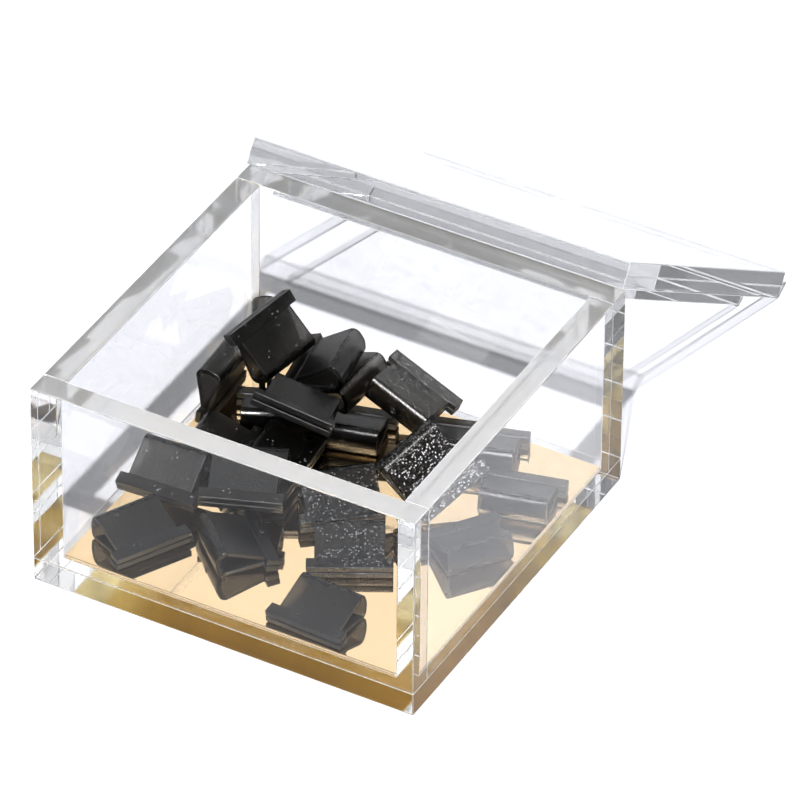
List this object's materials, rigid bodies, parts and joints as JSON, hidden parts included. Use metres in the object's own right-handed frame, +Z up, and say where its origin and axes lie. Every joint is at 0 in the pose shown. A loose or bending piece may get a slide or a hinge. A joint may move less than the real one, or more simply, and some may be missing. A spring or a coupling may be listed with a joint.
{
  "type": "clip box",
  "caption": "Square clear acrylic box with a gold mirror floor, holding small dark spring clips, its loose two-layer lid leaning against the back wall.",
  "frame": {"origin": "centre of the box's underside, on the surface it stands on", "axes": "+Z up out of the box's open top, +Y from the front wall towards the back wall that the lid leans on, +X to the right seen from the front"},
  "size_m": [0.1016, 0.1878, 0.0628],
  "materials": {
    "acrylic": "polished",
    "gold_mirror": "mirror",
    "clip": "gloss"
  },
  "bodies": {
    "box": {"base_plate": "acrylic", "gold_sheet": "gold_mirror", "front_wall": "acrylic", "back_wall": "acrylic", "left_wall": "acrylic", "right_wall": "acrylic"},
    "lid": {"lid_plate": "acrylic", "lid_locator": "acrylic"},
    "clip_01": {"clip_01": "clip"},
    "clip_02": {"clip_02": "clip"},
    "clip_03": {"clip_03": "clip"},
    "clip_04": {"clip_04": "clip"},
    "clip_05": {"clip_05": "clip"},
    "clip_06": {"clip_06": "clip"},
    "clip_07": {"clip_07": "clip"},
    "clip_08": {"clip_08": "clip"},
    "clip_09": {"clip_09": "clip"},
    "clip_10": {"clip_10": "clip"},
    "clip_11": {"clip_11": "clip"},
    "clip_12": {"clip_12": "clip"},
    "clip_13": {"clip_13": "clip"},
    "clip_14": {"clip_14": "clip"},
    "clip_15": {"clip_15": "clip"},
    "clip_16": {"clip_16": "clip"},
    "clip_17": {"clip_17": "clip"},
    "clip_18": {"clip_18": "clip"},
    "clip_19": {"clip_19": "clip"},
    "clip_20": {"clip_20": "clip"},
    "clip_21": {"clip_21": "clip"},
    "clip_22": {"clip_22": "clip"}
  },
  "joints": [
    {"name": "lid_lift", "type": "slide", "parent": "box", "child": "lid", "axis": [0, 0, 1], "range_m": [0, 0.08]},
    {"name": "clip_01_lift", "type": "slide", "parent": "clip_03", "child": "clip_01", "axis": [0, 0, 1], "range_m": [0, 0.05]},
    {"name": "clip_02_lift", "type": "slide", "parent": "clip_04", "child": "clip_02", "axis": [0, 0, 1], "range_m": [0, 0.045]},
    {"name": "clip_03_lift", "type": "slide", "parent": "clip_20", "child": "clip_03", "axis": [0, 0, 1], "range_m": [0, 0.055]},
    {"name": "clip_04_lift", "type": "slide", "parent": "clip_22", "child": "clip_04", "axis": [0, 0, 1], "range_m": [0, 0.055]},
    {"name": "clip_05_lift", "type": "slide", "parent": "clip_09", "child": "clip_05", "axis": [0, 0, 1], "range_m": [0, 0.055]},
    {"name": "clip_06_lift", "type": "slide", "parent": "box", "child": "clip_06", "axis": [0, 0, 1], "range_m": [0, 0.055]},
    {"name": "clip_07_lift", "type": "slide", "parent": "box", "child": "clip_07", "axis": [0, 0, 1], "range_m": [0, 0.055]},
    {"name": "clip_08_lift", "type": "slide", "parent": "clip_11", "child": "clip_08", "axis": [0, 0, 1], "range_m": [0, 0.055]},
    {"name": "clip_09_lift", "type": "slide", "parent": "box", "child": "clip_09", "axis": [0, 0, 1], "range_m": [0, 0.055]},
    {"name": "clip_10_lift", "type": "slide", "parent": "box", "child": "clip_10", "axis": [0, 0, 1], "range_m": [0, 0.055]},
    {"name": "clip_11_lift", "type": "slide", "parent": "clip_21", "child": "clip_11", "axis": [0, 0, 1], "range_m": [0, 0.055]},
    {"name": "clip_12_lift", "type": "slide", "parent": "clip_17", "child": "clip_12", "axis": [0, 0, 1], "range_m": [0, 0.04]},
    {"name": "clip_13_lift", "type": "slide", "parent": "clip_11", "child": "clip_13", "axis": [0, 0, 1], "range_m": [0, 0.05]},
    {"name": "clip_14_lift", "type": "slide", "parent": "clip_15", "child": "clip_14", "axis": [0, 0, 1], "range_m": [0, 0.04]},
    {"name": "clip_15_lift", "type": "slide", "parent": "clip_13", "child": "clip_15", "axis": [0, 0, 1], "range_m": [0, 0.05]},
    {"name": "clip_16_lift", "type": "slide", "parent": "clip_08", "child": "clip_16", "axis": [0, 0, 1], "range_m": [0, 0.05]},
    {"name": "clip_17_lift", "type": "slide", "parent": "clip_19", "child": "clip_17", "axis": [0, 0, 1], "range_m": [0, 0.045]},
    {"name": "clip_18_lift", "type": "slide", "parent": "clip_05", "child": "clip_18", "axis": [0, 0, 1], "range_m": [0, 0.055]},
    {"name": "clip_19_lift", "type": "slide", "parent": "clip_14", "child": "clip_19", "axis": [0, 0, 1], "range_m": [0, 0.05]},
    {"name": "clip_20_lift", "type": "slide", "parent": "box", "child": "clip_20", "axis": [0, 0, 1], "range_m": [0, 0.055]},
    {"name": "clip_21_lift", "type": "slide", "parent": "clip_22", "child": "clip_21", "axis": [0, 0, 1], "range_m": [0, 0.055]},
    {"name": "clip_22_lift", "type": "slide", "parent": "clip_20", "child": "clip_22", "axis": [0, 0, 1], "range_m": [0, 0.05]}
  ]
}
